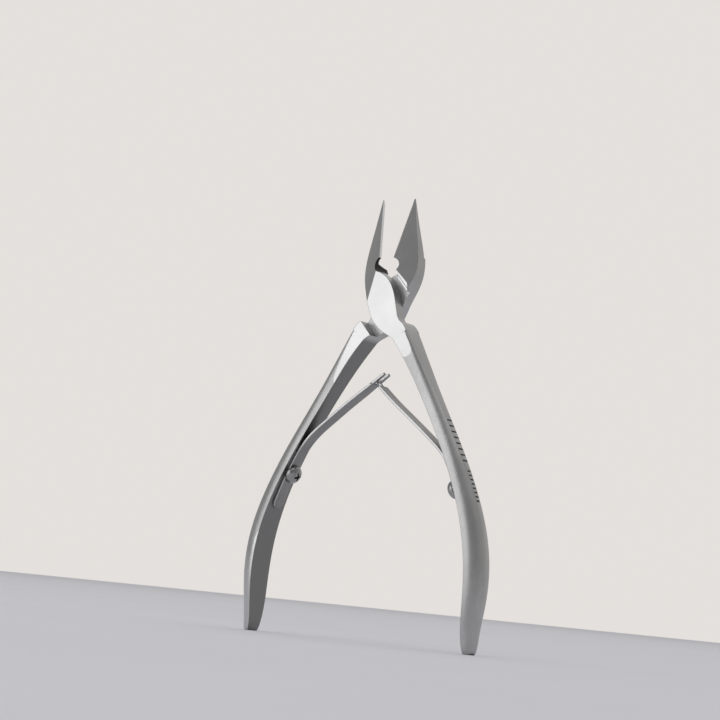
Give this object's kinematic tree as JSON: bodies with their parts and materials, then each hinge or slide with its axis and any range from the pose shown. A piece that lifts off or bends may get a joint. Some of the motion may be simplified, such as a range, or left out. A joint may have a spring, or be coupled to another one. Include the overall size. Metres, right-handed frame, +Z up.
{
  "type": "nail and cuticle nipper",
  "caption": "Hand nipper with long pointed jaws, a lap joint, bowed handles and a double leaf spring.",
  "frame": {"origin": "on the floor plane under the pivot, midway between the handle ends and at mid thickness", "axes": "+Z up the tool from the handle ends to the jaw tips, X its width, Y its thickness; the front with the ground jaw facets faces -Y"},
  "size_m": [0.0672, 0.0072, 0.1046],
  "materials": {
    "satin_steel": "bead-blasted satin with polished lap",
    "spring_steel": "rolled and tumbled",
    "polished_steel": "polished"
  },
  "bodies": {
    "front_half": {"front_lever": "satin_steel", "pivot_pin": "polished_steel", "right_spring_foot": "spring_steel", "right_spring_screw": "polished_steel"},
    "rear_half": {"rear_lever": "satin_steel", "left_spring_foot": "spring_steel", "left_spring_screw": "polished_steel"},
    "right_arm": {"right_spring_arm": "spring_steel"},
    "left_arm": {"left_spring_arm": "spring_steel"}
  },
  "joints": [
    {"name": "jaw_pivot", "type": "hinge", "parent": "front_half", "child": "rear_half", "pos_m": [0, 0, 0.07815], "axis": [0, -1, 0], "range_deg": [0, 19], "stiffness_Nm_per_rad": 0.6, "springref_deg": -11.46},
    {"name": "left_arm_flex", "type": "hinge", "parent": "rear_half", "child": "left_arm", "pos_m": [-0.01846, 0, 0.04665], "axis": [0, -1, 0], "range_deg": [0, 10]},
    {"name": "right_arm_flex", "type": "hinge", "parent": "front_half", "child": "right_arm", "pos_m": [0.02022, 0, 0.04395], "axis": [0, 1, 0], "range_deg": [0, 7.1]}
  ],
  "couplings": [
    {"joint": "left_arm_flex", "follows": "jaw_pivot", "ratio": 0.5217},
    {"joint": "right_arm_flex", "follows": "jaw_pivot", "ratio": 0.3674}
  ]
}
